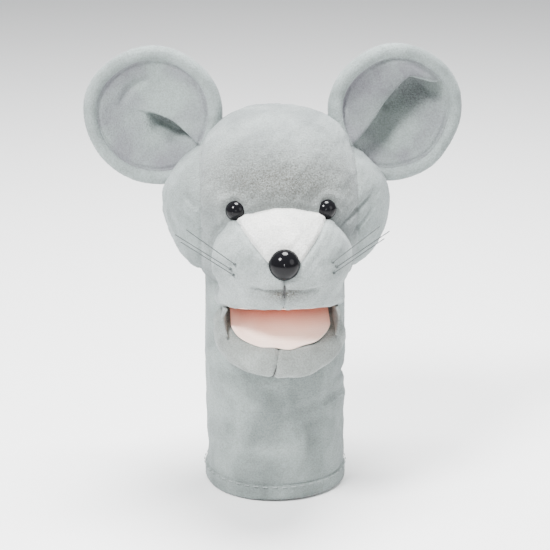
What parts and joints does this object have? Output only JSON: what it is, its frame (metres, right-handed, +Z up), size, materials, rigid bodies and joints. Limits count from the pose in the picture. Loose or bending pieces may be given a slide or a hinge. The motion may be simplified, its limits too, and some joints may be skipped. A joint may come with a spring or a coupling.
{
  "type": "mouse hand puppet",
  "caption": "Plush mouse hand puppet with round cupped ears, a moving mouth, a head worked by the hand inside and a soft sleeve.",
  "frame": {"origin": "centre of the hand opening, in the plane of the hem's foot", "axes": "+Z up the sleeve to the head, the puppet faces -Y, +X to the right seen from the front"},
  "size_m": [0.2912, 0.1852, 0.352],
  "materials": {
    "grey_plush": "short pile",
    "brow_plush": "short pile",
    "ear_plush": "short pile",
    "white_plush": "short pile",
    "pale_plush": "short pile",
    "mouth_cloth": "smooth felt",
    "lining_cloth": "plain weave",
    "stuffing": "polyester fibre",
    "mouth_board": "matte",
    "lock_washer": "matte",
    "black_gloss": "gloss",
    "bristle": "satin",
    "grey_thread": "thread",
    "black_thread": "thread"
  },
  "bodies": {
    "sleeve": {"sleeve_front": "grey_plush", "sleeve_back": "grey_plush", "hem": "grey_plush", "sleeve_lining": "lining_cloth", "hem_stitches": "grey_thread"},
    "neck": {"neck_front": "grey_plush", "neck_back": "grey_plush"},
    "wrist": {"wrist_lining": "lining_cloth"},
    "head": {"crown": "brow_plush", "head_back": "grey_plush", "left_cheek": "grey_plush", "right_cheek": "grey_plush", "muzzle_top": "white_plush", "left_muzzle": "pale_plush", "right_muzzle": "pale_plush", "upper_lip": "pale_plush", "head_stuffing": "stuffing", "muzzle_stuffing": "stuffing", "palate": "mouth_cloth", "upper_board": "mouth_board", "finger_pocket": "lining_cloth", "left_eye": "black_gloss", "right_eye": "black_gloss", "left_eye_washer": "lock_washer", "right_eye_washer": "lock_washer", "nose": "black_gloss", "nose_washer": "lock_washer", "left_whiskers": "bristle", "right_whiskers": "bristle", "lip_thread": "black_thread", "left_mouth_corner": "grey_plush", "right_mouth_corner": "grey_plush"},
    "jaw": {"left_lower_lip": "grey_plush", "right_lower_lip": "grey_plush", "lower_lip_stuffing": "stuffing", "chin": "grey_plush", "tongue": "mouth_cloth", "lower_board": "mouth_board", "thumb_pocket": "lining_cloth", "jaw_stuffing": "stuffing", "chin_thread": "black_thread"},
    "left_ear": {"left_ear_front": "ear_plush", "left_ear_back": "grey_plush", "left_ear_rim": "grey_plush", "left_ear_pad": "stuffing"},
    "right_ear": {"right_ear_front": "ear_plush", "right_ear_back": "grey_plush", "right_ear_rim": "grey_plush", "right_ear_pad": "stuffing"}
  },
  "joints": [
    {"name": "head_turn", "type": "hinge", "parent": "sleeve", "child": "neck", "pos_m": [0, 0.005, 0.11], "axis": [0, 0, 1], "range_deg": [-35, 35], "deforming": ["neck_front", "neck_back", "wrist_lining"]},
    {"name": "head_tilt", "type": "hinge", "parent": "neck", "child": "wrist", "pos_m": [0, 0.005, 0.11], "axis": [0, 1, 0], "range_deg": [-15, 15], "deforming": ["neck_front", "neck_back", "wrist_lining"]},
    {"name": "head_nod", "type": "hinge", "parent": "wrist", "child": "head", "pos_m": [0, 0.005, 0.11], "axis": [1, 0, 0], "range_deg": [-20, 15], "deforming": ["neck_front", "neck_back", "wrist_lining"]},
    {"name": "jaw_open", "type": "hinge", "parent": "head", "child": "jaw", "pos_m": [0, -0.04, 0.16], "axis": [1, 0, 0], "range_deg": [-28, 22], "deforming": ["left_mouth_corner", "right_mouth_corner"]},
    {"name": "left_ear_flop", "type": "hinge", "parent": "head", "child": "left_ear", "pos_m": [-0.06744, 0.006, 0.27949], "axis": [0.7017, 0, 0.7125], "range_deg": [-20, 25], "stiffness_Nm_per_rad": 0.06},
    {"name": "right_ear_flop", "type": "hinge", "parent": "head", "child": "right_ear", "pos_m": [0.06744, 0.006, 0.27949], "axis": [0.7017, 0, -0.7125], "range_deg": [-20, 25], "stiffness_Nm_per_rad": 0.06}
  ]
}
